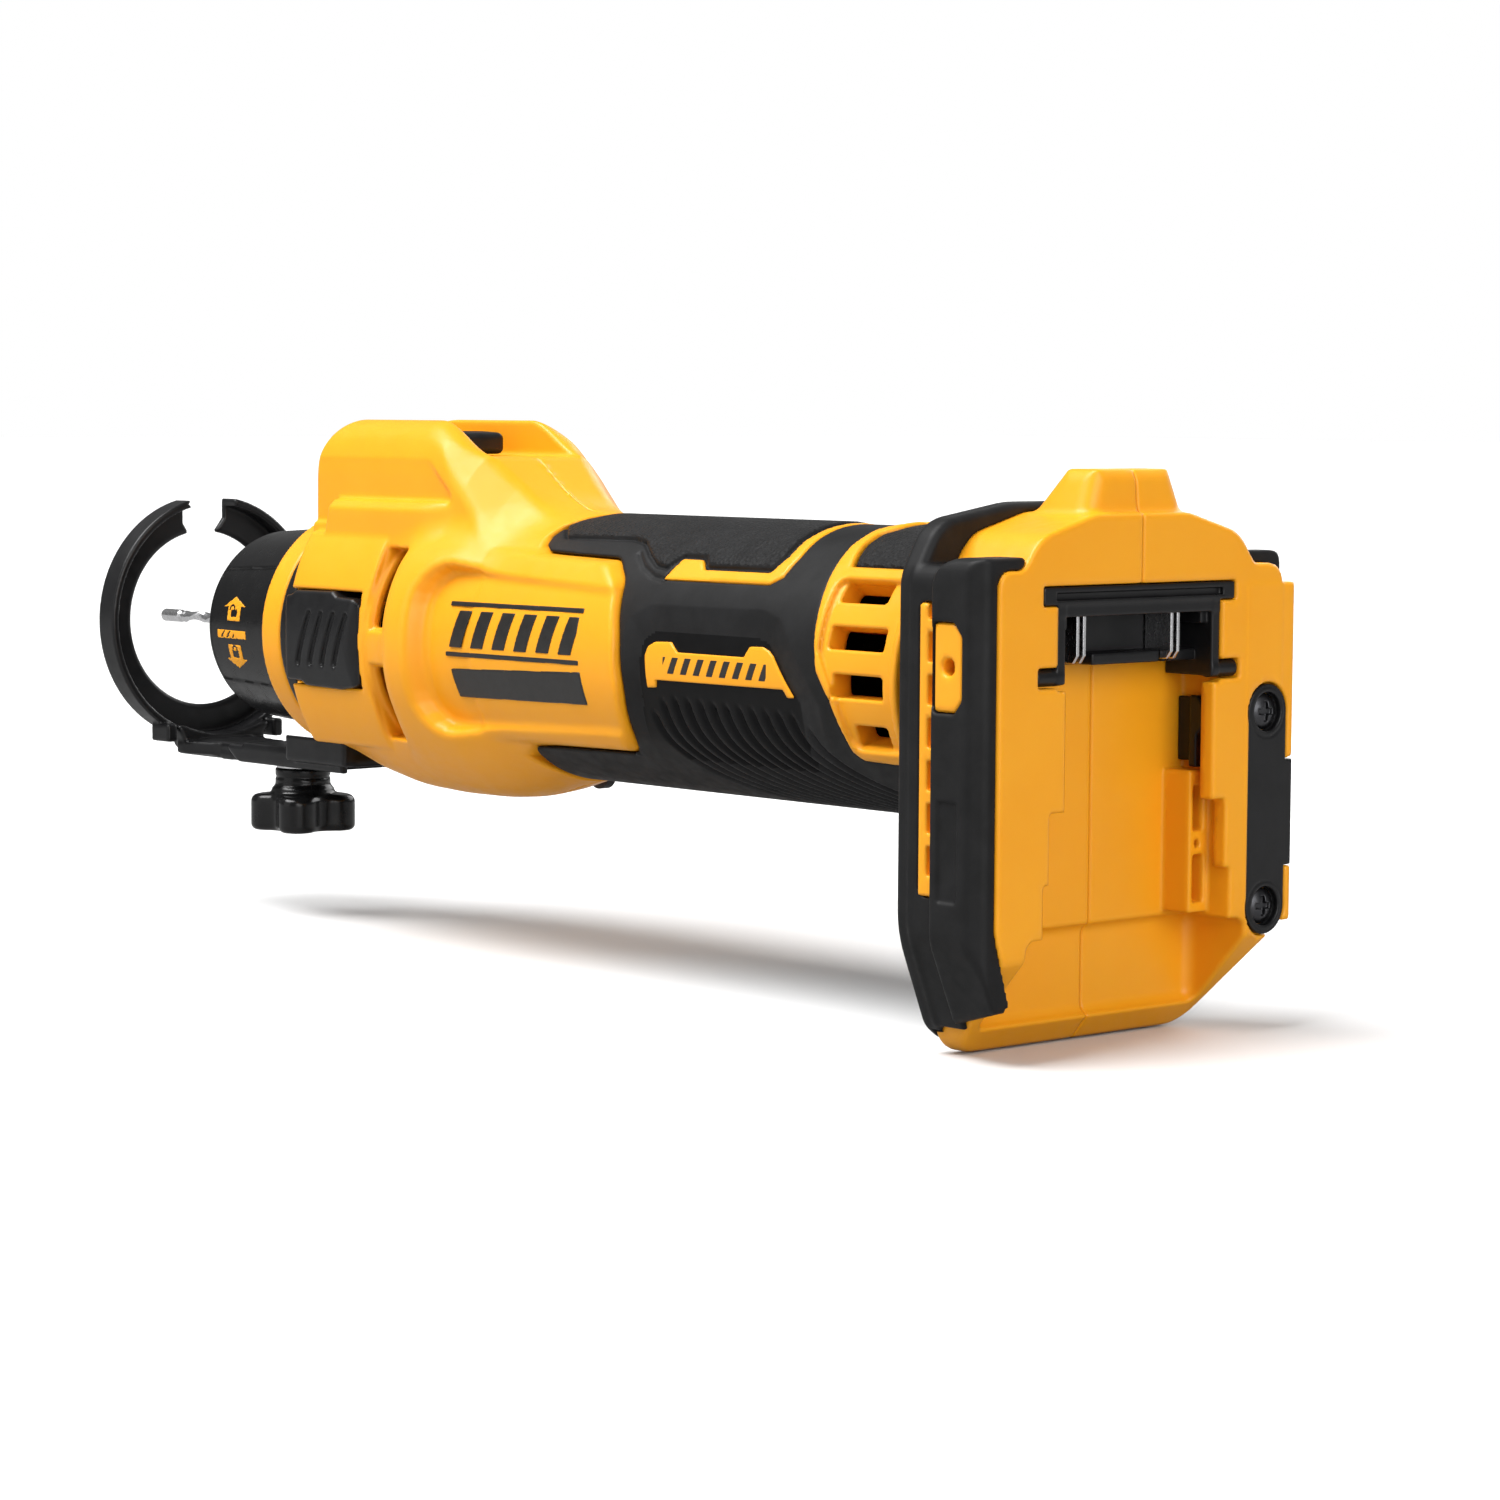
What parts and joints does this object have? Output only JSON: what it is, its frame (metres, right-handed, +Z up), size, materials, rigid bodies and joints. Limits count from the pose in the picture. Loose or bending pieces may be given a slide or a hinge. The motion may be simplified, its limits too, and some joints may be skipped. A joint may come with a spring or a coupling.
{
  "type": "rotary cut-out router",
  "caption": "Slim cordless inline router with an open depth-guide ring, lock collar, top slide switch, overmoulded grip and a slide-on battery foot.",
  "frame": {"origin": "where the spindle axis meets the plane of the battery foot's rear face", "axes": "+X along the spindle axis from the nose to the battery foot, +Z up towards the slide switch, +Y to the right seen from behind the foot"},
  "size_m": [0.331, 0.0876, 0.1185],
  "materials": {
    "yellow_plastic": "satin moulded plastic",
    "black_rubber": "fine pebbled overmould",
    "black_plastic": "satin black plastic",
    "label_black": "blank glossy label",
    "dark_steel": "black oxide",
    "bright_steel": "ground",
    "lamination_steel": "stacked laminations",
    "copper": "enamelled copper wire",
    "magnet": "nickel plated magnet",
    "red_plastic": "moulded",
    "board_green": "potted circuit board",
    "component_black": "moulded",
    "red_wire": "insulation",
    "black_wire": "insulation"
  },
  "bodies": {
    "tool_body": {"badge_left": "yellow_plastic", "badge_right": "yellow_plastic", "battery_stop": "black_plastic", "bearing_bracket": "red_plastic", "bearing_clip": "dark_steel", "board_components": "component_black", "bumper_left": "black_rubber", "bumper_right": "black_rubber", "circuit_board": "board_green", "control_module": "black_plastic", "front_bearing": "bright_steel", "grip_left": "black_rubber", "grip_right": "black_rubber", "guide_mount": "black_plastic", "hook_plate": "black_plastic", "hook_plate_screws": "dark_steel", "housing_left": "yellow_plastic", "housing_right": "yellow_plastic", "housing_screws": "dark_steel", "label_left": "label_black", "label_right": "label_black", "lead_negative": "black_wire", "lead_positive": "red_wire", "nose_ring": "yellow_plastic", "nose_screws": "dark_steel", "pad_spring_left": "bright_steel", "pad_spring_right": "bright_steel", "phase_leads": "black_wire", "rear_bearing": "bright_steel", "stator_core": "lamination_steel", "stator_insulators": "red_plastic", "stator_windings": "copper", "switch_module": "black_plastic", "terminal_blades": "bright_steel", "terminal_block": "black_plastic"},
    "spindle": {"spindle_shaft": "bright_steel", "rotor_core": "lamination_steel", "rotor_magnets": "magnet", "fan": "black_plastic", "collet": "bright_steel", "collet_nut": "dark_steel", "router_bit": "bright_steel"},
    "lock_collar": {"nose_collar": "black_plastic"},
    "guide": {"depth_guide": "black_plastic"},
    "knob": {"clamp_knob": "black_plastic", "clamp_screw": "bright_steel", "clamp_washer": "bright_steel"},
    "switch": {"switch_button": "black_plastic"},
    "pad_left": {"release_pad_left": "black_plastic"},
    "pad_right": {"release_pad_right": "black_plastic"}
  },
  "joints": [
    {"name": "spindle_spin", "type": "hinge", "parent": "tool_body", "child": "spindle", "pos_m": [-0.2, 0, 0], "axis": [1, 0, 0], "continuous": true},
    {"name": "collar_turn", "type": "hinge", "parent": "tool_body", "child": "lock_collar", "pos_m": [-0.265, 0, 0], "axis": [1, 0, 0], "range_deg": [0, 40]},
    {"name": "guide_slide", "type": "slide", "parent": "tool_body", "child": "guide", "axis": [-1, 0, 0], "range_m": [0, 0.014]},
    {"name": "knob_turn", "type": "hinge", "parent": "tool_body", "child": "knob", "pos_m": [-0.2727, 0, -0.045], "axis": [0, 0, 1], "range_deg": [0, 360]},
    {"name": "switch_slide", "type": "slide", "parent": "tool_body", "child": "switch", "axis": [-1, 0, 0], "range_m": [0, 0.006]},
    {"name": "pad_press_left", "type": "slide", "parent": "tool_body", "child": "pad_left", "axis": [0, 1, 0], "range_m": [0, 0.0016], "stiffness_N_per_m": 2000, "springref_m": -0.0005, "deforming": ["pad_spring_left"]},
    {"name": "pad_press_right", "type": "slide", "parent": "tool_body", "child": "pad_right", "axis": [0, -1, 0], "range_m": [0, 0.0016], "stiffness_N_per_m": 2000, "springref_m": -0.0005, "deforming": ["pad_spring_right"]}
  ]
}
